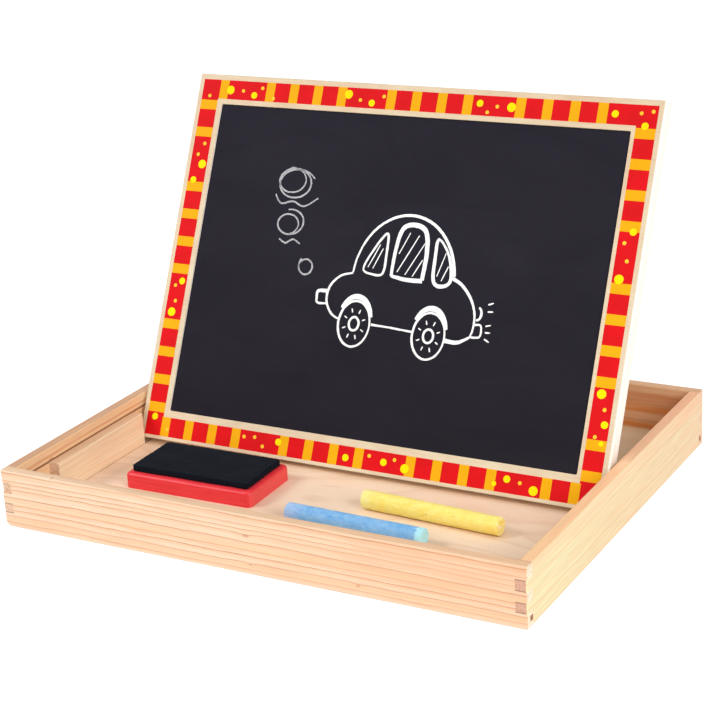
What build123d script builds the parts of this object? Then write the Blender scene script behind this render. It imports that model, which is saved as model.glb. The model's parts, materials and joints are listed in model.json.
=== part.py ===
from build123d import *
import os
from math import atan, cos, radians, sin

# Kids' table-top easel, in millimetres, +Z up.
# A finger-jointed wooden tray holds a double-sided drawing board.  Two pairs of rails are glued
# to the side walls.  The board stands in the gap between the front and rear pairs and leans back
# on the rear ones, or it lies flat on all four as the tray's lid.  A felt eraser and two sticks
# of chalk lie in the tray.  The origin is the centre of the tray's footprint.

# Tray box
TRAY_W = 300.0          # outside, along X
TRAY_D = 240.0          # outside, along Y
TRAY_H = 32.0
WALL = 6.0              # thickness of the four walls
CORNER_R = 1.0          # sanding of the upright outer corners
EDGE_R = 0.7            # sanding of the long top and bottom edges
WORN_R = 5.0            # the front wall's lower left corner is sanded much rounder

# Finger joints: heights of the fingers that each wall sends through its corners
LONG_FINGERS = ((0.0, 8.0), (13.5, 19.0), (25.0, 32.0))
SIDE_FINGERS = ((8.0, 13.5), (19.0, 25.0))
SHORT_FINGER_GAP = 1.2  # the left wall's upper front finger stops this far inside the corner

# Plywood floor, held in a groove that runs round the inside of the walls
FLOOR_LOW = 3.0
FLOOR_T = 3.0
GROOVE_DEPTH = 3.0
PANEL_PLAY = 0.5        # the panel stops this far short of the groove's bottom
FLOOR_TOP = FLOOR_LOW + FLOOR_T

# Support rails
RAIL_T = 6.4
RAIL_H = 18.3
RAIL_NEAR = 8.5         # half the gap between the front and rear rails
RAIL_FAR = 87.0
RAIL_EDGE_R = 0.5

# Drawing board
BOARD_W = 283.0
BOARD_H = 212.5
BOARD_T = 8.4
BOARD_LEAN = 26.0       # degrees back from upright
BOARD_X = 0.5
BORDER = 17.0           # width of the frame's face around the drawing surface
LIP = 1.0               # how far the drawing surfaces lie below the frame's face
SHEET_T = BOARD_T / 2 - LIP
REBATE = 5.0            # how far the sheets reach under the frame's lip
SHEET_PLAY = 0.3
WINDOW_R = 0.9
BOARD_CORNER_R = 0.8
BOARD_EDGE_R = 0.4

# Felt eraser
ERASER_SIZE = (78.4, 42.0, 8.7)
ERASER_AT = (-72.2, -43.5)
ERASER_TURN = 1.0       # degrees about Z
ERASER_CORNER_R = 3.0
ERASER_TOP_R = 2.4
FELT_MARGIN = 3.0
FELT_T = 3.6
FELT_CORNER_R = 1.5

# Chalk: small end, direction about Z, length and the two end radii
CHALK_LENGTH = 80.5
YELLOW = {"at": (102.8, -44.4), "turn": 176.9, "small": 4.9, "large": 5.15}
BLUE = {"at": (-7.2, -68.0), "turn": -1.8, "small": 4.8, "large": 4.95}
CHALK_END_R = 1.1

REST_GAP = 0.1          # air under each loose piece, so that no two bodies share a face
SLOT_GAP = 0.3          # board's lower front edge to the front rails

# Where the board stands: its lower front edge, with its lower back edge on the floor
lean = radians(BOARD_LEAN)
board_foot_y = -RAIL_NEAR + SLOT_GAP
board_foot_z = FLOOR_TOP + REST_GAP + BOARD_T * sin(lean)
board_plane = Plane(
    origin=(BOARD_X, board_foot_y, board_foot_z),
    x_dir=(1, 0, 0),
    z_dir=(0, -cos(lean), sin(lean)),
)


def save(name, label):
    """Label a finished piece and write it as its own file."""
    name.part.label = label
    export_step(name.part, f"parts/{label}.step")


# The tray's whole wooden ring with its sanded edges: every wall is trimmed to it
with BuildPart() as tray_ring:
    with Locations((0, 0, TRAY_H / 2)):
        Box(TRAY_W, TRAY_D, TRAY_H)
        Box(TRAY_W - 2 * WALL, TRAY_D - 2 * WALL, TRAY_H, mode=Mode.SUBTRACT)
    outer_corners = tray_ring.edges().filter_by(Axis.Z).group_by(SortBy.DISTANCE)[-1]
    fillet(outer_corners, CORNER_R)
    fillet(tray_ring.faces().sort_by(Axis.Z)[-1].edges(), EDGE_R)
    fillet(tray_ring.faces().sort_by(Axis.Z)[0].outer_wire().edges(), EDGE_R)


def long_wall(side):
    """Front (side -1) or back (side 1) wall, with its fingers and the floor's groove."""
    middle_y = side * (TRAY_D - WALL) / 2
    groove_y = side * (TRAY_D / 2 - WALL + GROOVE_DEPTH / 2)
    with BuildPart() as wall:
        with Locations((0, middle_y, TRAY_H / 2)):
            Box(TRAY_W - 2 * WALL, WALL, TRAY_H)
        for low, high in LONG_FINGERS:
            with Locations((0, middle_y, (low + high) / 2)):
                Box(TRAY_W, WALL, high - low)
        with Locations((0, groove_y, FLOOR_LOW + FLOOR_T / 2)):
            Box(TRAY_W, GROOVE_DEPTH, FLOOR_T, mode=Mode.SUBTRACT)
        add(tray_ring.part, mode=Mode.INTERSECT)
        if side < 0:
            with BuildSketch(Plane.XZ.offset(TRAY_D / 2)):
                with Locations((-TRAY_W / 2 + WORN_R / 2, WORN_R / 2)):
                    Rectangle(WORN_R, WORN_R)
                with Locations((-TRAY_W / 2 + WORN_R, WORN_R)):
                    Circle(WORN_R, mode=Mode.SUBTRACT)
            extrude(amount=-WALL, mode=Mode.SUBTRACT)
    return wall


def side_wall(side):
    """Left (side -1) or right (side 1) wall; its fingers fill the gaps in the long walls."""
    middle_x = side * (TRAY_W - WALL) / 2
    groove_x = side * (TRAY_W / 2 - WALL + GROOVE_DEPTH / 2)
    with BuildPart() as wall:
        with Locations((middle_x, 0, TRAY_H / 2)):
            Box(WALL, TRAY_D - 2 * WALL, TRAY_H)
        for low, high in SIDE_FINGERS:
            with Locations((middle_x, 0, (low + high) / 2)):
                Box(WALL, TRAY_D, high - low)
        with Locations((groove_x, 0, FLOOR_LOW + FLOOR_T / 2)):
            Box(GROOVE_DEPTH, TRAY_D - 2 * WALL, FLOOR_T, mode=Mode.SUBTRACT)
        add(tray_ring.part, mode=Mode.INTERSECT)
        if side < 0:
            low, high = SIDE_FINGERS[-1]
            with Locations((middle_x, -TRAY_D / 2 + SHORT_FINGER_GAP / 2, (low + high) / 2)):
                Box(WALL, SHORT_FINGER_GAP, high - low, mode=Mode.SUBTRACT)
    return wall


def rail(side, end):
    """One support rail on the left or right wall, in the front (end -1) or rear (end 1) half."""
    length = RAIL_FAR - RAIL_NEAR
    middle = (
        side * (TRAY_W / 2 - WALL - RAIL_T / 2),
        end * (RAIL_NEAR + length / 2),
        FLOOR_TOP + RAIL_H / 2,
    )
    with BuildPart() as strip:
        with Locations(middle):
            Box(RAIL_T, length, RAIL_H)
        fillet(strip.faces().sort_by(Axis.Z)[-1].edges(), RAIL_EDGE_R)
    return strip


def frame_half(front_face, outward):
    """One half of the board's frame: a window frame, rebated on its inner side for a sheet.

    front_face is the local height of its visible face and outward the way that face looks."""
    inner_face = front_face - outward * BOARD_T / 2
    with BuildPart() as half:
        with BuildSketch(board_plane.offset(front_face)):
            with Locations((0, BOARD_H / 2)):
                RectangleRounded(BOARD_W, BOARD_H, BOARD_CORNER_R)
                RectangleRounded(
                    BOARD_W - 2 * BORDER, BOARD_H - 2 * BORDER, WINDOW_R, mode=Mode.SUBTRACT
                )
        extrude(amount=-outward * BOARD_T / 2)
        outline = half.faces().sort_by(Axis(board_plane.origin, board_plane.z_dir * outward))[-1]
        fillet(outline.outer_wire().edges(), BOARD_EDGE_R)
        with BuildSketch(board_plane.offset(inner_face)):
            with Locations((0, BOARD_H / 2)):
                Rectangle(BOARD_W - 2 * (BORDER - REBATE), BOARD_H - 2 * (BORDER - REBATE))
        extrude(amount=outward * SHEET_T, mode=Mode.SUBTRACT)
    return half


def sheet(lowest):
    """One hardboard sheet of the drawing board, from the local height lowest upwards."""
    with BuildPart() as panel:
        with BuildSketch(board_plane.offset(lowest)):
            with Locations((0, BOARD_H / 2)):
                Rectangle(
                    BOARD_W - 2 * (BORDER - REBATE + SHEET_PLAY),
                    BOARD_H - 2 * (BORDER - REBATE + SHEET_PLAY),
                )
        extrude(amount=SHEET_T)
    return panel


def eraser_plane(height):
    """Plane of the eraser's own axes at a height above the underside of its block."""
    origin = (*ERASER_AT, FLOOR_TOP + REST_GAP + height)
    return Plane(origin=origin, x_dir=(1, 0, 0), z_dir=(0, 0, 1)).rotated((0, 0, ERASER_TURN))


def chalk(at, turn, small, large):
    """A tapered stick of chalk lying on the tray's floor, small end first."""
    tilt = atan((large - small) / CHALK_LENGTH)
    heading = radians(turn)
    forward = (cos(tilt) * cos(heading), cos(tilt) * sin(heading), sin(tilt))
    start = (*at, FLOOR_TOP + REST_GAP + small * cos(tilt))
    side_plane = Plane(origin=start, x_dir=forward, z_dir=(sin(heading), -cos(heading), 0))
    with BuildPart() as stick:
        with BuildSketch(side_plane):
            with BuildLine():
                ends = ((0, 0), (0, small), (CHALK_LENGTH, large), (CHALK_LENGTH, 0))
                FilletPolyline(*ends, radius=CHALK_END_R)
                Line((CHALK_LENGTH, 0), (0, 0))
            make_face()
        revolve(axis=Axis(start, forward))
    return stick


os.makedirs("parts", exist_ok=True)

for side, word in ((-1, "front"), (1, "back")):
    save(long_wall(side), f"tray_{word}_wall")
for side, word in ((-1, "left"), (1, "right")):
    save(side_wall(side), f"tray_{word}_wall")

with BuildPart() as floor_panel:
    reach = 2 * (WALL - GROOVE_DEPTH + PANEL_PLAY)
    with Locations((0, 0, FLOOR_LOW + FLOOR_T / 2)):
        Box(TRAY_W - reach, TRAY_D - reach, FLOOR_T)
save(floor_panel, "tray_floor")

for side, side_word in ((-1, "left"), (1, "right")):
    for end, end_word in ((-1, "front"), (1, "rear")):
        save(rail(side, end), f"rail_{side_word}_{end_word}")

save(frame_half(0.0, 1), "board_front_frame")
save(frame_half(-BOARD_T, -1), "board_back_frame")
save(sheet(-BOARD_T / 2), "chalkboard_sheet")
save(sheet(-BOARD_T + LIP), "whiteboard_sheet")

with BuildPart() as eraser_block:
    length, width, height = ERASER_SIZE
    with BuildSketch(eraser_plane(0)):
        RectangleRounded(length, width, ERASER_CORNER_R)
    extrude(amount=height)
    fillet(eraser_block.faces().sort_by(Axis.Z)[-1].edges(), ERASER_TOP_R)
save(eraser_block, "eraser_block")

with BuildPart() as eraser_felt:
    with BuildSketch(eraser_plane(height)):
        RectangleRounded(length - 2 * FELT_MARGIN, width - 2 * FELT_MARGIN, FELT_CORNER_R)
    extrude(amount=FELT_T)
save(eraser_felt, "eraser_felt")

save(chalk(**YELLOW), "chalk_yellow")
save(chalk(**BLUE), "chalk_blue")
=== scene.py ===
"""Looks of the kids' table-top easel: wood, printed border, chalk drawing, felt, chalk and light.

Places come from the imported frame. Lengths written here are millimetres, turned into metres by MM."""

import json
import math

import bmesh
import bpy
from mathutils import Matrix, Vector, noise


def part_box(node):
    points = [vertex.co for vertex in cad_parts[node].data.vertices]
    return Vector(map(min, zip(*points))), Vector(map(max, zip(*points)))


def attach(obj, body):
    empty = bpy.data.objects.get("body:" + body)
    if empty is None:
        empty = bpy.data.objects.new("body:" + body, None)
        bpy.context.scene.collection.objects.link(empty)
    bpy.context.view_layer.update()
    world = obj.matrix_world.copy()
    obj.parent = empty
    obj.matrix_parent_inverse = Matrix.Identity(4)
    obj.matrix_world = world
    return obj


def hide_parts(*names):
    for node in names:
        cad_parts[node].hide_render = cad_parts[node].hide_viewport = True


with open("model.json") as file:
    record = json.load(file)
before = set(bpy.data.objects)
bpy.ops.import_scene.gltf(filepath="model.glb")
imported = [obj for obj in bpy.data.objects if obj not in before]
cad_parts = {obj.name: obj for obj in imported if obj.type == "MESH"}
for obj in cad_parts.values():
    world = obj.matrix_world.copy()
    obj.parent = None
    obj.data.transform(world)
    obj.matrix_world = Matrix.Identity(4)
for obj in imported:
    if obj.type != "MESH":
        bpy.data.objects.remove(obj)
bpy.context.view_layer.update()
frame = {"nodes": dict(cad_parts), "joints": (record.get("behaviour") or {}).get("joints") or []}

MM = 0.001
WHITE = (1, 1, 1, 1)

# Camera: the direction it looks from, in degrees, and the point it looks at
CAMERA_AZIMUTH = 29.84
CAMERA_ELEVATION = 19.54
CAMERA_ROLL = -3.24
CAMERA_DISTANCE = 1014.7 * MM
CAMERA_TARGET = Vector((-2.5, 0.0, 75.0)) * MM
CAMERA_LENS = 97.66

# Studio: soft lamps as (name, place and width in metres, power, colour), sky and table top
LAMPS = (
    ("key_left", (-1.1, -0.9, 1.2), 0.6, 13, (1, 1, 1)),
    ("fill_right", (1.5, -0.7, 0.9), 1.0, 15.5, (1, 0.98, 0.94)),
    ("low_front", (0.2, -1.6, 0.5), 1.2, 6, (1, 1, 1)),
    ("top", (0.1, 0.2, 1.6), 1.0, 4, (1, 1, 1)),
    ("rear", (-0.6, 1.9, 0.4), 1.4, 9, (1, 1, 1)),
)
LAMP_TARGET = Vector((0, 0, 0.05))
SKY_STRENGTH = 0.38
TABLE_GLOW = 0.92
TABLE_SIZE = 60

# Board: printed border
BAND_MARGINS = {"left": 2.8, "right": 3.8, "top": 3.1, "bottom": 2.0}   # bare wood outside the print
BAND_WIDTH = 11.0
BAR_WIDTH = 5.6
INK = 0.05              # how proud each layer of ink stands
# The rim's pale tint, like that of the frame's side faces, is a painted highlight
RIM = 0.9               # pale rounded rim at each end of the board's frame

# Reach of the slow changes of tone over the wood and the print: a tint along the walls, and painted shade
# over the floor and the board
WALL_REACH = 300        # along a tray wall
FLOOR_REACH = 250       # from the tray's front to its back
BOARD_REACH = 200       # from the standing board's foot to its top

# Chalk marks on the board: how deep they bite, how proud the lowest stands, and the steps above it
MARK_DEPTH = 0.02
MARK_TOP = 0.08
MARK_STEP = 0.012
MARK_LEVELS = 6
MARK_SHAKE = 0.16       # how far a mark's edge wanders

# Edge length of the fine meshes
FELT_VOXEL = 0.6
CHALK_VOXEL = 0.4


# ---------------------------------------------------------------- shader building

def srgb(red, green, blue):
    """Linear colour of three 0-255 sRGB numbers, with alpha."""
    def linear(value):
        share = value / 255
        return share / 12.92 if share <= 0.04045 else ((share + 0.055) / 1.055) ** 2.4
    return (linear(red), linear(green), linear(blue), 1.0)


class Shader:
    """One material's node tree, built by small steps that take numbers or sockets."""

    # the colour sockets of a Mix node
    MIX_FIRST, MIX_SECOND, MIX_RESULT = 6, 7, 2

    def __init__(self, name):
        self.material = bpy.data.materials.new(name)
        self.material.use_nodes = True
        self.tree = self.material.node_tree
        self.surface = self.tree.nodes["Principled BSDF"]
        self.coordinates = self.tree.nodes.new("ShaderNodeTexCoord")

    def feed(self, socket, value):
        if isinstance(value, bpy.types.NodeSocket):
            self.tree.links.new(value, socket)
        else:
            socket.default_value = value

    def math(self, operation, *values, clamp=False):
        node = self.tree.nodes.new("ShaderNodeMath")
        node.operation = operation
        node.use_clamp = clamp
        for socket, value in zip(node.inputs, values):
            self.feed(socket, value)
        return node.outputs[0]

    def vector(self, operation, *values):
        node = self.tree.nodes.new("ShaderNodeVectorMath")
        node.operation = operation
        for socket, value in zip(node.inputs, values):
            self.feed(socket, value)
        return node.outputs["Value" if operation == "LENGTH" else "Vector"]

    def combine(self, x, y, z):
        node = self.tree.nodes.new("ShaderNodeCombineXYZ")
        for socket, value in zip(node.inputs, (x, y, z)):
            self.feed(socket, value)
        return node.outputs[0]

    def separate(self, vector):
        node = self.tree.nodes.new("ShaderNodeSeparateXYZ")
        self.feed(node.inputs[0], vector)
        return node.outputs

    def millimetres(self):
        """The piece's own coordinates, in millimetres."""
        return self.vector("MULTIPLY", self.coordinates.outputs["Object"], (1 / MM, 1 / MM, 1 / MM))

    def facing(self, axis, sign=0):
        """How far the surface looks along an axis: either way, or only the way of sign."""
        part = self.separate(self.coordinates.outputs["Normal"])["XYZ".index(axis)]
        return self.math("MULTIPLY", part, sign) if sign else self.math("ABSOLUTE", part)

    def noise(self, vector, detail=2.0, roughness=0.5, distortion=0.0):
        node = self.tree.nodes.new("ShaderNodeTexNoise")
        self.feed(node.inputs["Vector"], vector)
        for socket, value in (("Scale", 1.0), ("Detail", detail), ("Roughness", roughness),
                              ("Distortion", distortion)):
            self.feed(node.inputs[socket], value)
        return node.outputs["Fac"]

    def speckle(self, along, across, **settings):
        """Noise over the piece, with so many lumps to the millimetre along X and across it."""
        place = self.vector("MULTIPLY", self.millimetres(), (along, across, across))
        return self.noise(place, **settings)

    def ramp(self, value, *stops, ease=False):
        """A colour ramp through (place, level or colour) stops."""
        node = self.tree.nodes.new("ShaderNodeValToRGB")
        self.feed(node.inputs[0], value)
        elements = node.color_ramp.elements
        node.color_ramp.interpolation = "EASE" if ease else "LINEAR"
        while len(elements) < len(stops):
            elements.new(0.5)
        for element, (place, level) in zip(elements, stops):
            element.position = place
            element.color = level if isinstance(level, tuple) else (level, level, level, 1)
        return node.outputs[0]

    def mix(self, factor, first, second, blend="MIX"):
        node = self.tree.nodes.new("ShaderNodeMix")
        node.data_type = "RGBA"
        node.blend_type = blend
        self.feed(node.inputs["Factor"], factor)
        self.feed(node.inputs[self.MIX_FIRST], first)
        self.feed(node.inputs[self.MIX_SECOND], second)
        return node.outputs[self.MIX_RESULT]

    def shade_towards_top(self, colour, tint):
        """Painted shade: the colour multiplied by a darkening tint that grows from the board's foot to its
        top.
        """
        share = self.math("MULTIPLY", self.separate(self.millimetres())[2], 1 / BOARD_REACH)
        return self.mix(1.0, colour, self.ramp(share, (0.1, WHITE), (0.95, tint)), "MULTIPLY")

    def bump(self, height, distance, strength=1.0):
        node = self.tree.nodes.new("ShaderNodeBump")
        self.feed(node.inputs["Height"], height)
        node.inputs["Distance"].default_value = distance * MM
        node.inputs["Strength"].default_value = strength
        self.tree.links.new(node.outputs[0], self.surface.inputs["Normal"])

    def finish(self, colour, roughness, specular=0.5):
        self.feed(self.surface.inputs["Base Color"], colour)
        self.feed(self.surface.inputs["Roughness"], roughness)
        self.surface.inputs["Specular IOR Level"].default_value = specular
        return self.material


# ---------------------------------------------------------------- wood

class Pine(Shader):
    """The steps that make pine: rings round a pith, their summer wood, bands, painted light and shade by
    facing, a painted shadow line and end grain.
    """

    def __init__(self, name, grain, seed):
        super().__init__(name)
        self.grain = grain
        self.seed = seed
        x, y, self.height = self.separate(self.millimetres())
        self.along, self.depth = (x, y) if grain == "X" else (y, x)

    def figure(self, along, across, start=0.0, **settings):
        """Noise drawn out along the grain, with so many lumps to the millimetre along and across."""
        place = self.combine(self.math("MULTIPLY_ADD", self.along, along, self.seed + start),
                             self.math("MULTIPLY", self.height, across),
                             self.math("MULTIPLY", self.depth, across))
        return self.noise(place, **settings)

    def wander(self, wave):
        """How far the rings drift off true circles: long waves and a short ripple."""
        waves = self.figure(0.007, 0.035, detail=3.0, roughness=0.55)
        ripple = self.figure(0.045, 0.16, detail=3.0, roughness=0.6)
        return self.math("MULTIPLY_ADD", ripple, 1.3, self.math("MULTIPLY_ADD", waves, 2 * wave, -wave))

    def ring_radius(self, pith, drift, knots):
        """Distance from the pith, bulging round the knots, and how much the knots tint the wood."""
        up = self.math("SUBTRACT", self.height, pith[0])
        back = self.math("SUBTRACT", self.depth, pith[1])
        squares = self.math("ADD", self.math("MULTIPLY", up, up), self.math("MULTIPLY", back, back))
        radius = self.math("ADD", self.math("SQRT", squares), drift)
        tint = 0.0
        for centre_along, centre_height, centre_depth, size in knots:
            gap = self.vector("LENGTH", self.combine(
                self.math("MULTIPLY", self.math("SUBTRACT", self.along, centre_along), 0.5),
                self.math("SUBTRACT", self.height, centre_height),
                self.math("MULTIPLY", self.math("SUBTRACT", self.depth, centre_depth), 0.15)))
            bulge = self.ramp(self.math("DIVIDE", gap, size * 5), (0.0, 1.0), (1.0, 0.0), ease=True)
            radius = self.math("MULTIPLY_ADD", bulge, size * 0.6, radius)
            spot = self.ramp(self.math("DIVIDE", gap, size), (0.35, 1.0), (1.0, 0.0), ease=True)
            tint = self.math("ADD", tint, spot)
        return radius, tint

    def summer_wood(self, radius, ring, uneven, contrast, fibre):
        """How much of the deepening summer colour and of the dark line each place has."""
        years = self.noise(self.combine(self.math("MULTIPLY", radius, 0.13), self.seed, 0.0), detail=1.0)
        phase = self.math("MULTIPLY_ADD", years, uneven, self.math("DIVIDE", radius, ring))
        phase = self.math("FRACT", phase)
        growth = self.noise(self.combine(self.math("MULTIPLY", radius, 0.23),
                                         self.math("MULTIPLY_ADD", self.along, 0.004, self.seed + 7.0), 0.0))
        vigour = self.math("MULTIPLY", self.ramp(growth, (0.32, 0.45), (0.62, 1.0)), contrast)
        soft = self.ramp(phase, (0.0, 0.0), (0.30, 0.05), (0.80, 0.60), (0.92, 0.75), (1.0, 0.0))
        sharp = self.ramp(phase, (0.80, 0.0), (0.885, 1.0), (0.93, 1.0), (0.98, 0.0))
        broken = self.ramp(fibre, (0.34, 0.25), (0.60, 1.0))
        return (self.math("MULTIPLY", soft, vigour, clamp=True),
                self.math("MULTIPLY", self.math("MULTIPLY", sharp, vigour), broken, clamp=True))

    def shade_by_facing(self, colour, faces):
        """Painted light and shade: a tint over the faces that look the given way."""
        for axis, sign, tint, strength in faces:
            amount = self.ramp(self.facing(axis, sign), (0.60, 0.0), (0.85, strength))
            colour = self.mix(amount, colour, tint)
        return colour

    def band(self, colour, bands, drift, streaks):
        """Broad streaky bands of another tone along the board."""
        streaky = self.ramp(streaks, (0.30, 0.45), (0.60, 1.0))
        level = self.math("MULTIPLY_ADD", drift, 0.8, self.height)
        for height, half_width, tint, strength in bands:
            gap = self.math("ABSOLUTE", self.math("SUBTRACT", level, height))
            gap = self.math("DIVIDE", gap, half_width)
            amount = self.ramp(gap, (0.25, strength), (1.0, 0.0), ease=True)
            colour = self.mix(self.math("MULTIPLY", amount, streaky), colour, tint)
        return colour

    def painted_shadow_line(self, colour, height, half_width):
        """Painted shadow of the rails: a dark line along the face that looks to +X."""
        gap = self.math("ABSOLUTE", self.math("SUBTRACT", self.height, height))
        contact_shade = self.ramp(self.math("DIVIDE", gap, half_width), (0.40, 0.9), (1.0, 0.0))
        inside = self.ramp(self.facing("X", 1), (0.60, 0.0), (0.85, 1.0))
        return self.mix(self.math("MULTIPLY", contact_shade, inside), colour, srgb(140, 84, 54))

    def end_grain(self, colour, end, soft, joints):
        """Rings, pores and dark finger joint lines, partly their own filling and partly painted shade of the
        joint gaps, on the faces across the grain.
        """
        pores = self.speckle(1.2, 1.2)
        ends = self.mix(self.math("MULTIPLY", soft, 0.7), end, self.mix(0.35, end, srgb(120, 70, 50)))
        ends = self.mix(self.ramp(pores, (0.32, 0.45), (0.50, 0.0)), ends, srgb(136, 80, 58))
        # partly painted shade: darker lines in the finger joint gaps
        for level in joints:
            gap = self.math("ABSOLUTE", self.math("SUBTRACT", self.height, level))
            ends = self.mix(self.ramp(gap, (0.15, 0.75), (0.75, 0.0)), ends, srgb(120, 74, 56))
        return self.mix(self.ramp(self.facing(self.grain), (0.80, 0.0), (0.92, 1.0)), colour, ends)


def pine(name, grain, pith, ring, colours, end, seed, wave=1.6, knots=(), contrast=1.0, joints=(),
         uneven=1.3, streak=0.30, bands=(), fade=None, faces=(), rail_shadow=None):
    """Solid pine: growth rings round a pith that runs along the board, cut by the board's faces.

    grain is the board's long axis, pith the rings' centre across it (height, depth) in mm, and
    ring their spacing, which varies by uneven.  colours are early wood, the deepening summer wood
    and the dark line that ends each ring.  knots are (along, height, depth, radius), joints are
    heights of finger joint lines, which are darker on the end grain, partly their own filling and
    partly painted shade of the joint gaps.  streak is how much summer colour runs along the grain
    in loose streaks, bands are (height, half width, colour, strength) along the board, fade is a
    tint that grows towards the board's far end, and faces are (axis, sign, colour, strength)
    tints of painted light and shade on the faces that look that way.  seam is the (height, half
    width) of the rails' painted shadow: a dark line along the face that looks to +X."""
    wood = Pine(name, grain, seed)
    early, summer, line = colours
    fibre = wood.figure(0.035, 1.5, detail=4.0, roughness=0.62)
    drift = wood.wander(wave)
    radius, knot_tint = wood.ring_radius(pith, drift, knots)
    soft, sharp = wood.summer_wood(radius, ring, uneven, contrast, fibre)
    colour = wood.mix(sharp, wood.mix(soft, early, summer), line)
    patch = wood.figure(0.011, 0.07, 3.0)
    colour = wood.mix(wood.ramp(patch, (0.38, 0.0), (0.66, 0.35)), colour, summer)
    # painted light and shade on the faces, by the way they look
    colour = wood.shade_by_facing(colour, faces)
    dark_fibre = wood.ramp(fibre, (0.30, (0.45, 0.30, 0.20, 1)), (0.58, WHITE))
    colour = wood.mix(0.26, colour, dark_fibre, "MULTIPLY")
    streaks = wood.figure(0.02, 0.55, 11.0, detail=3.0, roughness=0.6)
    colour = wood.mix(wood.ramp(streaks, (0.50, 0.0), (0.66, streak)), colour, summer)
    colour = wood.band(colour, bands, drift, streaks)
    if fade:
        reach = wood.math("MULTIPLY_ADD", wood.along, 1 / WALL_REACH, 0.5, clamp=True)
        colour = wood.mix(reach, colour, fade, "MULTIPLY")
    # painted shadow of the rails: a dark line along the wall
    if rail_shadow:
        colour = wood.painted_shadow_line(colour, *rail_shadow)
    if knots:
        colour = wood.mix(wood.math("MULTIPLY", knot_tint, 0.45, clamp=True), colour, srgb(176, 110, 72))
    colour = wood.end_grain(colour, end, soft, joints)
    wood.bump(wood.math("MULTIPLY_ADD", fibre, 0.7, wood.math("MULTIPLY", sharp, -0.5)), 0.08, 0.55)
    return wood.finish(colour, wood.ramp(fibre, (0.2, 0.68), (0.8, 0.54)), specular=0.22)


def plywood(rail_face, rail_end):
    """The floor's face veneer: broad soft swirls, short fine pores along X, and painted shadow of the board
    that darkens it towards the back.

    A fine dark line of painted shade shows where the rails meet it, rail_face mm from the middle, to
    rail_end."""
    sh = Shader("plywood_veneer")
    x, y, z = sh.separate(sh.millimetres())

    def veneer(along, across, level, **settings):
        return sh.noise(sh.combine(sh.math("MULTIPLY", x, along), sh.math("MULTIPLY", y, across), level),
                        **settings)

    field = veneer(0.0085, 0.022, 4.2, detail=1.6, roughness=0.45, distortion=0.35)
    swirls = sh.math("FRACT", sh.math("MULTIPLY", field, 9.0))
    lines = sh.ramp(swirls, (0.0, 0.0), (0.55, 0.09), (0.86, 0.50), (1.0, 0.0))
    colour = sh.mix(lines, srgb(251, 228, 202), srgb(232, 196, 160))
    tone = veneer(0.006, 0.018, 9.0, detail=1.0)
    colour = sh.mix(sh.ramp(tone, (0.35, 0.0), (0.70, 0.45)), colour, srgb(242, 206, 182))
    # painted shadow of the board: the floor darkens towards the back
    depth = sh.math("MULTIPLY_ADD", y, 1 / FLOOR_REACH, 0.5)
    colour = sh.mix(sh.ramp(depth, (0.46, 0.0), (0.66, 0.65)), colour, srgb(208, 180, 142))
    fibre = veneer(0.06, 1.9, z, detail=4.0, roughness=0.65)
    dark_fibre = sh.ramp(fibre, (0.28, (0.55, 0.42, 0.32, 1)), (0.60, WHITE))
    colour = sh.mix(0.16, colour, dark_fibre, "MULTIPLY")
    # painted shade where the rails meet the floor
    gap = sh.math("ABSOLUTE", sh.math("SUBTRACT", sh.math("ABSOLUTE", x), rail_face))
    beside = sh.ramp(sh.math("DIVIDE", sh.math("ABSOLUTE", y), rail_end), (0.98, 1.0), (1.0, 0.0))
    contact_shade = sh.math("MULTIPLY", beside, sh.ramp(gap, (0.2, 0.6), (0.9, 0.0)))
    colour = sh.mix(contact_shade, colour, srgb(150, 96, 66))
    sh.bump(fibre, 0.05, 0.4)
    return sh.finish(colour, 0.62, specular=0.28)


def frame_wood(name, rim_start, light, dark, edge):
    """Pale close-grained frame wood with faint streaks, painted shade that darkens it towards the top, and a
    painted highlight that whitens its outer edges and rounded rim.

    The rim starts rim_start mm from the board's middle line."""
    sh = Shader(name)
    cloud = sh.speckle(0.035, 0.05, detail=3.0)
    fibre = sh.speckle(0.10, 1.1, detail=4.0, roughness=0.6)
    colour = sh.mix(sh.ramp(cloud, (0.30, 0.0), (0.70, 1.0)), light, dark)
    # painted shade: darker towards the board's top
    colour = sh.shade_towards_top(colour, srgb(236, 228, 222))
    # painted highlight: the side faces and the rounded rim turn near white
    colour = sh.mix(sh.ramp(sh.facing("X"), (0.70, 0.0), (0.90, 1.0)), colour, edge)
    beyond = sh.math("SUBTRACT", sh.math("ABSOLUTE", sh.separate(sh.millimetres())[0]), rim_start)
    colour = sh.mix(sh.ramp(beyond, (0.0, 0.0), (0.7, 1.0)), colour, edge)
    dark_fibre = sh.ramp(fibre, (0.28, (0.62, 0.46, 0.36, 1)), (0.62, WHITE))
    colour = sh.mix(0.22, colour, dark_fibre, "MULTIPLY")
    sh.bump(fibre, 0.05, 0.35)
    return sh.finish(colour, 0.5, specular=0.35)


# ---------------------------------------------------------------- other materials

def blackboard():
    """Matt blackboard paint with a faint rolled texture and wiped chalk dust."""
    sh = Shader("blackboard_paint")
    haze = sh.speckle(0.012, 0.03, detail=4.0, roughness=0.6, distortion=0.8)
    grit = sh.speckle(1.4, 1.4, detail=3.0, roughness=0.7)
    colour = sh.mix(sh.ramp(haze, (0.35, 0.0), (0.75, 1.0)), srgb(36, 34, 42), srgb(41, 39, 47))
    colour = sh.mix(sh.ramp(grit, (0.58, 0.0), (0.74, 0.08)), colour, srgb(110, 108, 114))
    sh.bump(grit, 0.04, 0.5)
    return sh.finish(colour, sh.ramp(grit, (0.3, 0.86), (0.7, 0.96)), specular=0.03)


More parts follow.
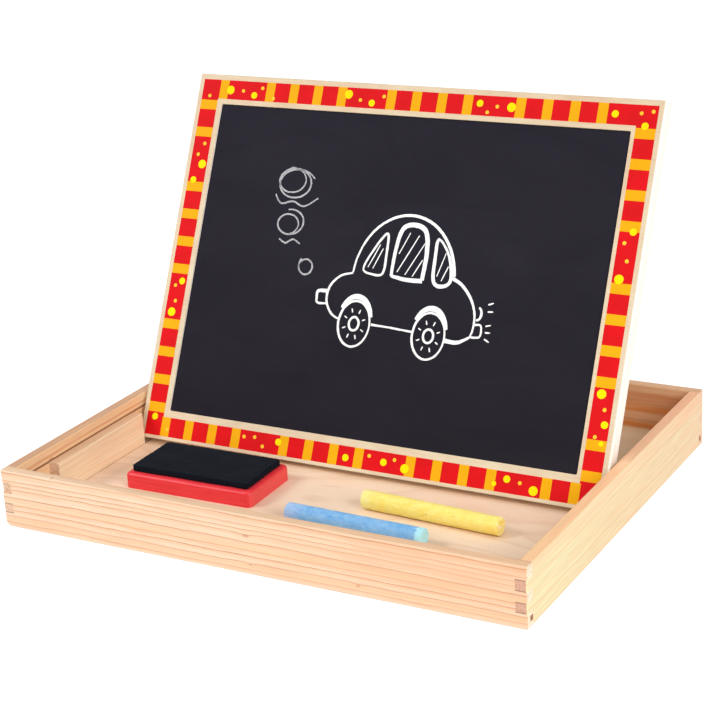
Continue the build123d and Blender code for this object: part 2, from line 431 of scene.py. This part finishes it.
def whiteboard():
    """Smooth white dry-wipe coating with a trace of wiped-off marker."""
    sh = Shader("whiteboard_coating")
    smear = sh.speckle(0.02, 0.05, detail=5.0, roughness=0.6, distortion=1.2)
    ripple = sh.speckle(0.25, 0.25, detail=1.0)
    colour = sh.mix(sh.ramp(smear, (0.52, 0.0), (0.80, 0.35)), srgb(244, 244, 241), srgb(214, 218, 224))
    sh.bump(ripple, 0.02, 0.4)
    return sh.finish(colour, sh.ramp(smear, (0.4, 0.16), (0.8, 0.30)), specular=0.5)


def ink(name, colour, shade):
    """Screen-printed ink: an even layer with a slight mottle, and painted shade that darkens it a little
    towards the top.
    """
    sh = Shader(name)
    mottle = sh.speckle(0.09, 0.09, detail=3.0)
    weave = sh.speckle(3.0, 3.0, detail=1.0)
    mixed = sh.mix(sh.ramp(mottle, (0.38, 0.0), (0.66, 1.0)), colour, shade)
    # painted shade: darker towards the board's top
    mixed = sh.shade_towards_top(mixed, srgb(240, 234, 238))
    sh.bump(weave, 0.015, 0.5)
    return sh.finish(mixed, sh.ramp(weave, (0.3, 0.50), (0.7, 0.60)), specular=0.06)


def paint_red():
    """The eraser block's satin red paint, faintly brushed along the block, with a painted highlight that
    makes its ends paler.
    """
    sh = Shader("eraser_paint")
    brushed = sh.speckle(0.05, 0.8, detail=3.0)
    orange_peel = sh.speckle(0.7, 0.7)
    colour = sh.mix(sh.ramp(brushed, (0.35, 0.0), (0.68, 1.0)), srgb(236, 58, 66), srgb(226, 43, 53))
    # painted highlight: the end faces paler
    colour = sh.mix(sh.ramp(sh.facing("X"), (0.60, 0.0), (0.85, 0.35)), colour, srgb(252, 108, 104))
    sh.bump(sh.math("ADD", brushed, orange_peel), 0.04, 0.5)
    return sh.finish(colour, sh.ramp(orange_peel, (0.3, 0.34), (0.7, 0.46)), specular=0.4)


def felt():
    """Dense black wool felt: matted fibres and a soft bluish sheen."""
    sh = Shader("wool_felt")
    mat = sh.speckle(1.3, 1.3, detail=5.0, roughness=0.7, distortion=1.5)
    worn = sh.speckle(0.05, 0.10, detail=3.0)
    colour = sh.mix(sh.ramp(mat, (0.30, 0.0), (0.72, 1.0)), srgb(6, 9, 15), srgb(26, 31, 44))
    colour = sh.mix(sh.ramp(worn, (0.45, 0.0), (0.75, 0.3)), colour, srgb(34, 38, 48))
    sh.bump(mat, 0.25, 0.9)
    sh.surface.inputs["Sheen Weight"].default_value = 0.03
    sh.surface.inputs["Sheen Roughness"].default_value = 0.5
    return sh.finish(colour, 0.97, specular=0.03)


def chalk(name, body, pale, deep, tips):
    """A stick of chalk: dusty and pitted, with rubbed tips.

    tips are (place along X in mm, side, length of the change, colour, strength)."""
    sh = Shader(name)
    x = sh.separate(sh.millimetres())[0]
    clouds = sh.speckle(0.16, 0.30, detail=4.0, roughness=0.65)
    dust = sh.speckle(1.8, 1.8, detail=4.0, roughness=0.7)
    colour = sh.mix(sh.ramp(clouds, (0.34, 0.0), (0.68, 1.0)), deep, body)
    colour = sh.mix(sh.ramp(dust, (0.50, 0.0), (0.68, 0.55)), colour, pale)
    for place, side, length, tint, strength in tips:
        beyond = sh.math("MULTIPLY", sh.math("SUBTRACT", x, place), side)
        beyond = sh.math("MULTIPLY_ADD", clouds, 6.0, sh.math("SUBTRACT", beyond, 3.0))
        amount = sh.ramp(sh.math("DIVIDE", beyond, length), (0.0, 0.0), (1.0, strength))
        colour = sh.mix(amount, colour, tint)
    sh.bump(dust, 0.20, 0.8)
    sh.surface.inputs["Subsurface Weight"].default_value = 0.35
    sh.surface.inputs["Subsurface Radius"].default_value = (1.0, 0.8, 0.5)
    sh.surface.inputs["Subsurface Scale"].default_value = 2.0 * MM
    return sh.finish(colour, 0.95, specular=0.06)


def chalk_line(name, colour, bare, covered):
    """Dry chalk rubbed on a board, with the board showing through between the grains."""
    sh = Shader(name)
    grain = sh.speckle(2.6, 2.6, detail=3.0, roughness=0.75)
    mixed = sh.mix(sh.ramp(grain, (bare, 1.0), (covered, 0.0)), colour, srgb(80, 78, 84))
    sh.bump(grain, 0.08, 0.6)
    return sh.finish(mixed, 0.95, specular=0.05)


def studio_floor():
    """A pale, evenly lit table top."""
    sh = Shader("studio_floor")
    cloud = sh.speckle(0.002, 0.002)
    sh.surface.inputs["Emission Strength"].default_value = TABLE_GLOW
    sh.surface.inputs["Emission Color"].default_value = WHITE
    return sh.finish(sh.ramp(cloud, (0.0, 0.20), (1.0, 0.22)), 0.9, 0.0)


# ---------------------------------------------------------------- meshes

def mesh_object(name, mesh_builder, material, body):
    """A new piece made by a bmesh, riding on a body, with its material and slot."""
    mesh = bpy.data.meshes.new(name)
    bm = bmesh.new()
    mesh_builder(bm)
    bmesh.ops.recalc_face_normals(bm, faces=bm.faces)
    bm.to_mesh(mesh)
    bm.free()
    mesh.materials.append(material)
    piece = bpy.data.objects.new(name, mesh)
    bpy.context.scene.collection.objects.link(piece)
    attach(piece, body)
    return piece


def prism(bm, outline, place, low, high):
    """A flat plate with an outline of (across, up) points, between two heights over a plane."""
    bottom = [bm.verts.new(place @ (Vector((x, y, low)) * MM)) for x, y in outline]
    top = [bm.verts.new(place @ (Vector((x, y, high)) * MM)) for x, y in outline]
    bm.faces.new(top)
    bm.faces.new(bottom[::-1])
    for i in range(len(outline)):
        j = (i + 1) % len(outline)
        bm.faces.new((bottom[i], bottom[j], top[j], top[i]))


def rectangle(low_x, low_y, high_x, high_y):
    """Corners of an upright rectangle."""
    return [(low_x, low_y), (high_x, low_y), (high_x, high_y), (low_x, high_y)]


def disc(x, y, radius, sides=36):
    """Corners of a round dot."""
    turns = [2 * math.pi * k / sides for k in range(sides)]
    return [(x + radius * math.cos(t), y + radius * math.sin(t)) for t in turns]


# ---------------------------------------------------------------- the board's own frame

def board_sides():
    """Places on the board's front and back: x across, y up from the lower edge, z outwards."""
    lift = next(j for j in frame["joints"] if j["name"] == "board_lift")
    up = Vector(lift["axis"]).normalized()
    places = {}
    for side, node, across in (("front", "board_front_frame", Vector((1, 0, 0))),
                               ("back", "board_back_frame", Vector((-1, 0, 0)))):
        outward = across.cross(up)
        corners = [v.co for v in frame["nodes"][node].data.vertices]
        low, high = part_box(node)
        origin = across * across.dot((low + high) / 2)
        origin += up * min(c.dot(up) for c in corners)
        origin += outward * max(c.dot(outward) for c in corners)
        places[side] = Matrix.Translation(origin) @ Matrix((across, up, outward)).transposed().to_4x4()
    width = high.x - low.x
    tall = max(c.dot(up) for c in corners) - min(c.dot(up) for c in corners)
    front = places["front"].inverted()
    recess = -max((front @ v.co).z for v in frame["nodes"]["chalkboard_sheet"].data.vertices)
    return places, width / MM, tall / MM, recess / MM


board, board_width, board_height, board_recess = board_sides()


# ---------------------------------------------------------------- the printed border

# Each side has bars on an even pitch and leaves out one bar in BAR_GROUP, where dots are printed.
# A run is (first bar's near edge, pitch, number of bars, which bar of the group is left out).
# The sides' runs are measured down from the board's upper edge, the others from its middle line.
BAR_GROUP = 5
TOP_RUN = (-127.2, 15.46, 17, 1)
BOTTOM_RUN = (-128.2, 15.63, 17, 4)
LEFT_RUN = (-15.1, -16.05, 12, 2)
RIGHT_RUN = (-15.2, -16.13, 12, 4)

# Dots as (radius, across, up), across from the board's middle line, up from its lower edge
BIG, MEDIUM, LITTLE, SMALL = 2.5, 1.95, 1.3, 1.05
DOTS = (
    # top band
    (SMALL, -133.5, 199.8), (BIG, -120.0, 203.8), (SMALL, -111.4, 203.7), (MEDIUM, -103.8, 201.5),
    (SMALL, -98.9, 205.9), (SMALL, -90.9, 200.4), (BIG, -42.9, 205.5), (SMALL, -35.1, 202.7),
    (MEDIUM, -27.8, 201.4), (SMALL, -20.8, 205.5), (MEDIUM, 37.4, 205.0), (SMALL, 42.4, 200.4),
    (SMALL, 47.7, 203.8), (BIG, 56.0, 203.9), (MEDIUM, 114.5, 203.9), (SMALL, 128.7, 205.0),
    (SMALL, 135.0, 206.2), (MEDIUM, 131.6, 198.4),
    # bottom band
    (MEDIUM, -133.5, 12.6), (SMALL, -124.0, 6.1), (SMALL, -73.0, 9.2), (SMALL, -66.2, 9.8),
    (SMALL, -60.4, 5.4), (MEDIUM, -50.8, 9.2), (MEDIUM, -8.1, 6.7), (SMALL, 6.0, 9.7),
    (MEDIUM, 15.0, 7.5), (SMALL, 21.3, 9.7), (BIG, 28.0, 5.9), (LITTLE, 80.1, 5.9),
    (MEDIUM, 86.9, 9.2), (SMALL, 94.4, 8.2), (BIG, 102.4, 5.3),
    # left band
    (SMALL, -131.3, 171.7), (SMALL, -134.6, 165.2), (BIG, -130.8, 159.7), (MEDIUM, -135.0, 150.3),
    (MEDIUM, -130.8, 91.3), (SMALL, -134.8, 88.5), (SMALL, -133.1, 79.6), (BIG, -134.4, 73.1),
    # right band
    (MEDIUM, 134.2, 143.5), (SMALL, 130.4, 137.4), (SMALL, 133.2, 128.2), (BIG, 130.5, 118.6),
    (BIG, 130.9, 59.4), (SMALL, 133.8, 51.6), (MEDIUM, 135.0, 44.0), (SMALL, 130.9, 37.3),
    (LITTLE, 134.7, 34.3),
)


def bar_edges(run):
    """(near, far) edges of the printed bars of one side, in order."""
    start, pitch, count, left_out = run
    turn = math.copysign(BAR_WIDTH, pitch)
    kept = [k for k in range(count) if k % BAR_GROUP != left_out]
    return [tuple(sorted((start + pitch * k, start + pitch * k + turn))) for k in kept]


def border_cells():
    """Rectangles of the printed band: the bars, and the cells between them and at the corners."""
    left, right = BAND_MARGINS["left"] - board_width / 2, board_width / 2 - BAND_MARGINS["right"]
    low, high = BAND_MARGINS["bottom"], board_height - BAND_MARGINS["top"]
    bars, cells = [], []
    for run, band in ((TOP_RUN, (high - BAND_WIDTH, high)), (BOTTOM_RUN, (low, low + BAND_WIDTH))):
        edges = bar_edges(run)
        bars += [rectangle(a, band[0], b, band[1]) for a, b in edges]
        marks = [left] + [m for edge in edges for m in edge] + [right]
        cells += [rectangle(a, band[0], b, band[1]) for a, b in zip(marks[::2], marks[1::2])]
    for run, band in ((LEFT_RUN, (left, left + BAND_WIDTH)), (RIGHT_RUN, (right - BAND_WIDTH, right))):
        edges = sorted((board_height + a, board_height + b) for a, b in bar_edges(run))
        bars += [rectangle(band[0], a, band[1], b) for a, b in edges]
        marks = [low + BAND_WIDTH] + [m for edge in edges for m in edge] + [high - BAND_WIDTH]
        cells += [rectangle(band[0], a, band[1], b) for a, b in zip(marks[::2], marks[1::2])]
    return bars, cells


def print_border(side, inks):
    """Three layers of ink on one face of the board's frame."""
    place = board[side]
    bars, cells = border_cells()

    def plates(outlines, top):
        return lambda bm: [prism(bm, outline, place, -INK, top) for outline in outlines]

    dots = [disc(across, up, size) for size, across, up in DOTS if size > SMALL]
    specks = [disc(across, up, size) for size, across, up in DOTS if size == SMALL]
    mesh_object(f"border_red_{side}", plates(cells, INK), inks["red"], "board")
    mesh_object(f"border_orange_{side}", plates(bars, INK), inks["orange"], "board")
    mesh_object(f"border_dots_{side}", plates(dots, 2 * INK), inks["yellow"], "board")
    mesh_object(f"border_specks_{side}", plates(specks, 2 * INK), inks["thin"], "board")


# ---------------------------------------------------------------- the chalk drawing

def smooth_path(points, closed=False, steps=8):
    """A smooth curve through a few points (Catmull-Rom)."""
    count = len(points)
    spans = count if closed else count - 1
    path = []
    for span in range(spans):
        picks = [(span + k) % count if closed else min(max(span + k, 0), count - 1) for k in (-1, 0, 1, 2)]
        a, b, c, d = (Vector(points[k]) for k in picks)
        for step in range(steps):
            t = step / steps
            path.append(0.5 * (2 * b + (c - a) * t + (2 * a - 5 * b + 4 * c - d) * t * t
                               + (3 * b - a - 3 * c + d) * t * t * t))
    if not closed:
        path.append(Vector(points[-1]))
    return path


def arc(centre, half_width, half_height, start, end, steps=28):
    """Points round an ellipse between two angles in degrees."""
    path = []
    for step in range(steps + 1):
        angle = math.radians(start + (end - start) * (step / steps))
        path.append(Vector((centre[0] + half_width * math.cos(angle),
                            centre[1] + half_height * math.sin(angle))))
    return path


def ribbon(bm, place, path, widths, base, top, closed=False):
    """A chalk mark along a path, with widths at its start, middle and end and a shaky edge."""
    count = len(path)
    rows = []
    for k, point in enumerate(path):
        before = path[k - 1] if closed or k > 0 else point
        after = path[(k + 1) % count] if closed or k < count - 1 else point
        heading = (after - before).normalized()
        side = Vector((-heading.y, heading.x))
        share = k / (count if closed else count - 1)
        swell = math.sin(math.pi * share)
        plain = widths[0] + (widths[2] - widths[0]) * share
        width = plain + (widths[1] - (widths[0] + widths[2]) / 2) * swell
        shake = [noise.noise(Vector((point.x * 0.9, point.y * 0.9, 5.0 * edge))) for edge in (0, 1)]
        left = point + side * (width / 2 + MARK_SHAKE * shake[0])
        right = point - side * (width / 2 + MARK_SHAKE * shake[1])
        rows.append([bm.verts.new(place @ (Vector((p.x, p.y, h)) * MM))
                     for p, h in ((left, base), (left, top), (right, top), (right, base))])
    pairs = list(zip(rows, rows[1:]))
    if closed:
        pairs.append((rows[-1], rows[0]))
    else:
        bm.faces.new(rows[0])
        bm.faces.new(rows[-1][::-1])
    for row, following in pairs:
        for k in range(4):
            m = (k + 1) % 4
            bm.faces.new((row[k], row[m], following[m], following[k]))


# Widths of a mark at its start, middle and end
THIN, LINE, FAT = (0.5, 0.6, 0.5), (1.0, 1.3, 1.0), (1.6, 3.0, 1.6)
ROUND = (1.3, 1.3, 1.3)
SPOKE, RAY = (0.6, 0.8, 0.5), (0.7, 0.9, 0.5)
DRY = (0.8, 1.0, 0.7)


def curve(points, widths=LINE, closed=False):
    """One chalk line, as (path, widths, closed), drawn smoothly through a few points."""
    return smooth_path(points, closed), widths, closed


def straight(start, end, widths):
    """One short straight chalk line, as (path, widths, closed)."""
    start, end = Vector(start), Vector(end)
    return [start, start.lerp(end, 0.5), end], widths, False


def car_body():
    """Roof, bonnet, boot and sills."""
    return [
        (arc((8, 106), 30.5, 35.5, 178, 8), (1.0, 1.5, 1.8), False),
        curve([(-22.5, 107), (-30, 104.5), (-35.5, 98), (-36, 90), (-32, 83.5), (-26.5, 80.8)]),
        curve([(37.5, 110), (44, 106.5), (50, 100), (53.5, 92), (53.8, 84), (52.5, 79.5)], (2.0, 1.3, 1.0)),
        curve([(-6.5, 80), (5, 79.6), (18.5, 78.8)], (1.4, 1.0, 1.2)),
        curve([(38.5, 76.4), (46, 76.2), (53.5, 80.2)], (2.4, 2.0, 1.0))]


def car_windows():
    """A tall middle window with a narrower one on each side, and slanting strokes on the glass."""
    strokes = [
        curve([(0.8, 107.5), (1.2, 122), (3.5, 133.5), (10, 136.5), (17.5, 133.5), (20, 122), (19.6, 107)],
              (1.6, 2.6, 2.2)),
        curve([(0.8, 107.6), (10, 106.4), (19.8, 106.6)], (1.6, 2.2, 2.4)),
        curve([(-16.6, 110), (-12, 121), (-5.2, 130.4), (-4, 119), (-4.6, 108.4), (-11, 107.4)],
              (1, 1.4, 1), True),
        curve([(26, 130), (25.4, 119), (26.4, 107.5), (31, 104.8), (36.4, 108.4), (33.6, 121)],
              (1.6, 2.0, 1), True)]
    for start, end in (((3.5, 120), (8.5, 132)), ((4, 110), (14, 131)), ((9, 109), (18, 127)),
                       ((-11, 110.5), (-6.5, 122)), ((-14, 111), (-8.5, 124)), ((28, 110), (31.5, 123)),
                       ((31, 107.8), (34, 116)), ((13.5, 108.5), (18.2, 118))):
        strokes.append(straight(start, end, THIN))
    return strokes


def car_wheel(x, y):
    """A wheel under its arch, with a hub and short spokes."""
    strokes = [
        (arc((x, y), 9.6, 12.6, 0, 360, steps=36)[:-1], LINE, True),
        (arc((x, y + 1.0), 10.2, 14.0, 150, 15), FAT, False),
        (arc((x, y), 3.0, 3.7, 0, 360, steps=20)[:-1], ROUND, True)]
    for spoke in range(8):
        angle = math.radians(45 * spoke + 20)
        reach = Vector((math.cos(angle) * 0.8, math.sin(angle)))
        strokes.append(([Vector((x, y)) + reach * r for r in (6.4, 7.6, 8.8)], SPOKE, False))
    return strokes


def car_ends():
    """Exhaust pipe, lamp with its rays, and bumper."""
    strokes = [
        curve([(-36.5, 95.5), (-42, 95), (-42.5, 91.5), (-41.5, 88.5), (-36, 88.6)], (2.2, 1.4, 1.0)),
        (arc((55.2, 92.6), 2.2, 3.4, 80, -100), LINE, False),
        curve([(54, 86.4), (58, 86.6), (58.4, 80.8), (53.5, 79.8)], (1.2, 1.0, 1.2))]
    for x, y, rise in ((60.5, 98, 1.2), (60.8, 94.3, 0.2), (60.8, 86.6, 0.8), (61, 83.2, 0.1),
                       (61.2, 79.8, -1.4)):
        strokes.append(straight((x, y), (x + 3, y + rise), RAY))
    return strokes


def car_strokes():
    """A child's little car: (path, widths, closed) for each chalk line."""
    return car_body() + car_windows() + car_wheel(-17, 79.3) + car_wheel(28.6, 77.6) + car_ends()


def coil(start, stop, half_width, half_height, turn, turns, steps=26):
    """Loose shrinking loops whose centre drifts from start to stop, as a hand scribbles smoke.

    They begin at the angle turn, in degrees, and go round turns times, clockwise when negative."""
    path = []
    count = round(steps * abs(turns))
    for step in range(count + 1):
        share = step / count
        angle = math.radians(turn) + 2 * math.pi * turns * share
        size = 1 - 0.30 * share
        centre = Vector(start).lerp(Vector(stop), share)
        path.append(centre + Vector((half_width * math.cos(angle), half_height * math.sin(angle))) * size)
    return path


def smoke_strokes():
    """Loops of smoke that shrink towards the exhaust pipe, in thin dry chalk."""
    return [
        (coil((-66.0, 152.4), (-70.5, 156.0), 11.6, 9.0, 30, 2.2), DRY, False),
        curve([(-79.4, 146.5), (-75.0, 141.6), (-67.5, 143.2), (-60.0, 141.0), (-51.8, 146.2)], DRY),
        (coil((-66.5, 131.6), (-68.5, 129.6), 8.8, 7.2, 110, -1.5), DRY, False),
        curve([(-72.5, 121.6), (-68.0, 119.6), (-63.5, 122.0), (-58.8, 119.8)], DRY),
        (coil((-52.0, 108.4), (-53.6, 107.2), 5.2, 5.4, 140, 1.15), DRY, False)]


def draw_picture(materials):
    """Chalk marks on the blackboard, about a tenth of a millimetre thick.

    Marks drawn after each other stand at different heights, so that crossing ones share no face."""
    place = board["front"] @ Matrix.Translation(Vector((0, 0, -board_recess)) * MM)

    def marks(strokes):
        def build(bm):
            for k, (path, widths, closed) in enumerate(strokes):
                top = MARK_TOP + MARK_STEP * (k % MARK_LEVELS)
                ribbon(bm, place, path, widths, -MARK_DEPTH, top, closed)
        return build

    mesh_object("chalk_picture_car", marks(car_strokes()), materials["white"], "board")
    mesh_object("chalk_picture_smoke", marks(smoke_strokes()), materials["dry"], "board")


# ---------------------------------------------------------------- felt and chalk sticks

def fine_copy(name, node, voxel, material, body, shape):
    """A finely divided copy of a CAD node's solid, each vertex moved by shape(place, normal).

    It takes the node's place; voxel is its edge length in mm."""
    piece = bpy.data.objects.new(name, frame["nodes"][node].data.copy())
    bpy.context.scene.collection.objects.link(piece)
    remesh = piece.modifiers.new("remesh", "REMESH")
    remesh.mode = "VOXEL"
    remesh.voxel_size = voxel * MM
    graph = bpy.context.evaluated_depsgraph_get()
    mesh = bpy.data.meshes.new_from_object(piece.evaluated_get(graph))
    piece.modifiers.clear()
    piece.data = mesh
    moved = [(v.co + shape(v.co / MM, v.normal) * MM) for v in mesh.vertices]
    for vertex, place in zip(mesh.vertices, moved):
        vertex.co = place
    mesh.polygons.foreach_set("use_smooth", [True] * len(mesh.polygons))
    mesh.materials.clear()
    mesh.materials.append(material)
    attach(piece, body)
    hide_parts(node)
    return piece


def chalk_surface(seed):
    """Pressed chalk: low lumps, small pits and nibbled ends, on average a little inside the stick."""
    def shape(place, normal):
        lumps = noise.noise(place * 0.22 + Vector((seed, 0, 0)))
        grain = noise.noise(place * 1.1 + Vector((0, seed, 0)))
        pits = max(0.0, noise.noise(place * 0.75 + Vector((0, 0, seed))) - 0.28)
        at_end = max(0.0, abs(normal.x) - 0.35)
        nibble = at_end * max(0.0, 0.25 + noise.noise(place * 0.5 + Vector((seed, seed, 0))))
        depth = 0.10 + 0.08 * lumps + 0.07 * grain + 1.1 * pits + 0.7 * nibble
        return normal * -depth
    return shape


def felt_surface(place, normal):
    """Matted wool: lumpy all over, and on average a little inside the pad's own outline."""
    tufts = noise.noise(place * 0.9) + 0.6 * noise.noise(place * 2.1)
    wear = noise.noise(place * 0.12)
    return normal * (-0.16 + 0.16 * tufts + 0.10 * wear)


# ---------------------------------------------------------------- camera and light

def aim(thing, place, target):
    """Place a camera or lamp so that it looks at a target."""
    thing.location = place
    thing.rotation_mode = "QUATERNION"
    thing.rotation_quaternion = (target - place).to_track_quat("-Z", "Y")


def make_camera():
    """A long lens that looks down on the toy from its front right, with a slight roll."""
    data = bpy.data.cameras.new("camera")
    data.lens = CAMERA_LENS
    camera = bpy.data.objects.new("camera", data)
    bpy.context.scene.collection.objects.link(camera)
    azimuth, elevation = math.radians(CAMERA_AZIMUTH), math.radians(CAMERA_ELEVATION)
    back = Vector((math.sin(azimuth) * math.cos(elevation), -math.cos(azimuth) * math.cos(elevation),
                   math.sin(elevation)))
    aim(camera, CAMERA_TARGET + back * CAMERA_DISTANCE, CAMERA_TARGET)
    roll = Matrix.Rotation(math.radians(CAMERA_ROLL), 4, "Z").to_quaternion()
    camera.rotation_quaternion = camera.rotation_quaternion @ roll
    bpy.context.scene.camera = camera


def soft_box(name, place, size, power, colour):
    """A round soft lamp that looks at the toy."""
    data = bpy.data.lights.new(name, "AREA")
    data.shape = "DISK"
    data.size = size
    data.energy = power
    data.color = colour
    lamp = bpy.data.objects.new(name, data)
    bpy.context.scene.collection.objects.link(lamp)
    aim(lamp, Vector(place), LAMP_TARGET)


def make_studio():
    """Soft lamps all round, an even white sky and a plain pale table top."""
    world = bpy.data.worlds.new("studio")
    world.use_nodes = True
    sky = world.node_tree.nodes["Background"]
    sky.inputs["Color"].default_value = WHITE
    sky.inputs["Strength"].default_value = SKY_STRENGTH
    bpy.context.scene.world = world
    for name, place, size, power, colour in LAMPS:
        soft_box(name, place, size, power, colour)
    bpy.ops.mesh.primitive_plane_add(size=TABLE_SIZE)
    floor = bpy.context.object
    floor.name = "studio_floor"
    floor.data.materials.append(studio_floor())
    bpy.context.scene.view_settings.view_transform = "Standard"


# ---------------------------------------------------------------- put together

def paint(node, material):
    """Give a CAD node its one material."""
    data = frame["nodes"][node].data
    data.materials.clear()
    data.materials.append(material)


def joint_levels(wall):
    """Heights of the finger joints' lines on a side wall's front end, in millimetres."""
    corners = [v.co for v in frame["nodes"][wall].data.vertices]
    front = min(c.y for c in corners)
    levels = sorted(c.z / MM for c in corners if c.y < front + 0.5 * MM)
    return [levels[0]] + [b for a, b in zip(levels, levels[1:]) if b - a > 1]


def paint_long_walls():
    """The front wall, pale with long rings and a few knots, and the browner back wall."""
    paint("tray_front_wall", pine(
        "pine_front", "X", (-118, -90), 3.4, (srgb(243, 215, 188), srgb(234, 185, 148), srgb(188, 134, 96)),
        srgb(252, 236, 208), 2.0, wave=2.0, uneven=2.0, contrast=1.2,
        knots=((0.4, 20.8, -120, 1.3), (1.9, 5.4, -120, 0.6), (62, 5.5, -120, 0.8), (-117, 32, -119, 0.5)),
        bands=((15, 2.2, srgb(246, 190, 142), 0.45), (5, 1.8, srgb(246, 190, 142), 0.4)),
        # the faces tint is painted shade on the top
        fade=srgb(254, 243, 235), faces=(("Z", 1, srgb(232, 202, 168), 0.6),)))
    paint("tray_back_wall", pine(
        "pine_back", "X", (-30, 175), 4.6, (srgb(228, 182, 142), srgb(216, 158, 112), srgb(182, 116, 72)),
        srgb(244, 206, 176), 5.0, contrast=0.45,
        bands=((18.5, 3.4, srgb(214, 130, 62), 0.95), (8.5, 2.4, srgb(214, 132, 66), 0.9),
               (24.5, 5.5, srgb(200, 126, 78), 0.7)),
        # the faces tint is painted shade on the top
        faces=(("Z", 1, srgb(226, 180, 140), 0.75),)))


def paint_side_walls():
    """The left wall, with the rails' painted shadow as a line over them, and the paler right wall."""
    paint("tray_left_wall", pine(
        "pine_left", "Y", (-75, -185), 2.4, (srgb(255, 230, 190), srgb(254, 196, 146), srgb(212, 128, 84)),
        srgb(226, 191, 161), 11.0, knots=((-85, 25, -144, 1.6),), joints=joint_levels("tray_left_wall"),
        # the line at 24.4 mm is the rails' painted shadow on the wall
        bands=((27.5, 1.0, srgb(214, 120, 78), 0.5),), rail_shadow=(24.4, 0.9),
        # the faces tints are painted light and shade on the top and the inner face
        faces=(("Z", 1, srgb(194, 146, 116), 0.8), ("X", 1, srgb(255, 218, 172), 0.6))))
    paint("tray_right_wall", pine(
        "pine_right", "Y", (-90, 170), 3.1, (srgb(241, 232, 185), srgb(242, 207, 159), srgb(225, 177, 128)),
        srgb(211, 165, 140), 17.0, wave=3.6, uneven=3.2, contrast=0.45, streak=0.6,
        joints=joint_levels("tray_right_wall"), fade=srgb(255, 234, 244),
        bands=((29, 5.0, srgb(250, 206, 166), 0.28),),
        # the faces tints are painted light and shade on the top and the inner face
        faces=(("Z", 1, srgb(255, 204, 154), 0.85), ("X", -1, srgb(245, 195, 150), 0.5))))


def paint_rails_and_floor():
    """Four rails of one pale wood, and the plywood floor."""
    rail_wood = pine(
        "pine_rail", "Y", (-60, 20), 1.8, (srgb(255, 238, 206), srgb(255, 222, 180), srgb(248, 200, 156)),
        # the faces tint is painted shade on the rails' tops
        srgb(236, 210, 184), 23.0, contrast=0.45, faces=(("Z", 1, srgb(232, 188, 152), 0.8),))
    for name in frame["nodes"]:
        if name.startswith("rail_"):
            paint(name, rail_wood)
    rail_low, rail_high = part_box("rail_right_rear")
    paint("tray_floor", plywood(rail_low.x / MM, rail_high.y / MM))


def paint_board():
    """The board's wooden frame and its two sheets."""
    for side in board:
        # the last colour is the painted highlight on the frame's side faces and rim
        paint(f"board_{side}_frame", frame_wood(
            f"frame_wood_{side}", board_width / 2 - RIM, srgb(229, 217, 187), srgb(221, 200, 170),
            srgb(252, 247, 238)))
    paint("chalkboard_sheet", blackboard())
    paint("whiteboard_sheet", whiteboard())


def decorate_board():
    """The printed border on both faces and the chalk drawing on the blackboard."""
    draw_picture({"white": chalk_line("chalk_white", srgb(250, 250, 250), 0.30, 0.42),
                  "dry": chalk_line("chalk_dry", srgb(196, 196, 200), 0.40, 0.52)})
    inks = {"red": ink("ink_red", srgb(221, 21, 28), srgb(211, 22, 26)),
            "orange": ink("ink_orange", srgb(242, 176, 21), srgb(234, 173, 15)),
            "yellow": ink("ink_yellow", srgb(246, 230, 6), srgb(238, 226, 6)),
            "thin": ink("ink_yellow_thin", srgb(250, 208, 62), srgb(246, 200, 54))}
    for side in board:
        print_border(side, inks)


def make_loose_things():
    """The felt pad and the two chalk sticks, as fine meshes in place of their plain solids."""
    pad = fine_copy("felt_pad", "eraser_felt", FELT_VOXEL, felt(), "eraser", felt_surface)
    yellow_start, yellow_end = (corner.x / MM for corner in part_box("chalk_yellow"))
    blue_start, blue_end = (corner.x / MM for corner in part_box("chalk_blue"))
    yellow = chalk("chalk_yellow", srgb(255, 238, 140), srgb(255, 246, 194), srgb(255, 225, 106),
                   ((yellow_end - 1, 1, 1, srgb(255, 242, 190), 0.75),
                    (yellow_start + 9, -1, 8, srgb(255, 244, 176), 0.5)))
    blue = chalk("chalk_blue", srgb(146, 196, 238), srgb(192, 222, 250), srgb(106, 172, 230),
                 ((blue_end - 4.5, 1, 1, srgb(185, 242, 255), 0.9),
                  (blue_start + 14, -1, 14, srgb(190, 204, 238), 0.6)))
    fine_copy("chalk_stick_yellow", "chalk_yellow", CHALK_VOXEL, yellow, "yellow_chalk",
              chalk_surface(3.0))
    fine_copy("chalk_stick_blue", "chalk_blue", CHALK_VOXEL, blue, "blue_chalk",
              chalk_surface(8.0))


paint_long_walls()
paint_side_walls()
paint_rails_and_floor()
paint_board()
paint("eraser_block", paint_red())
make_loose_things()
decorate_board()

make_camera()
make_studio()
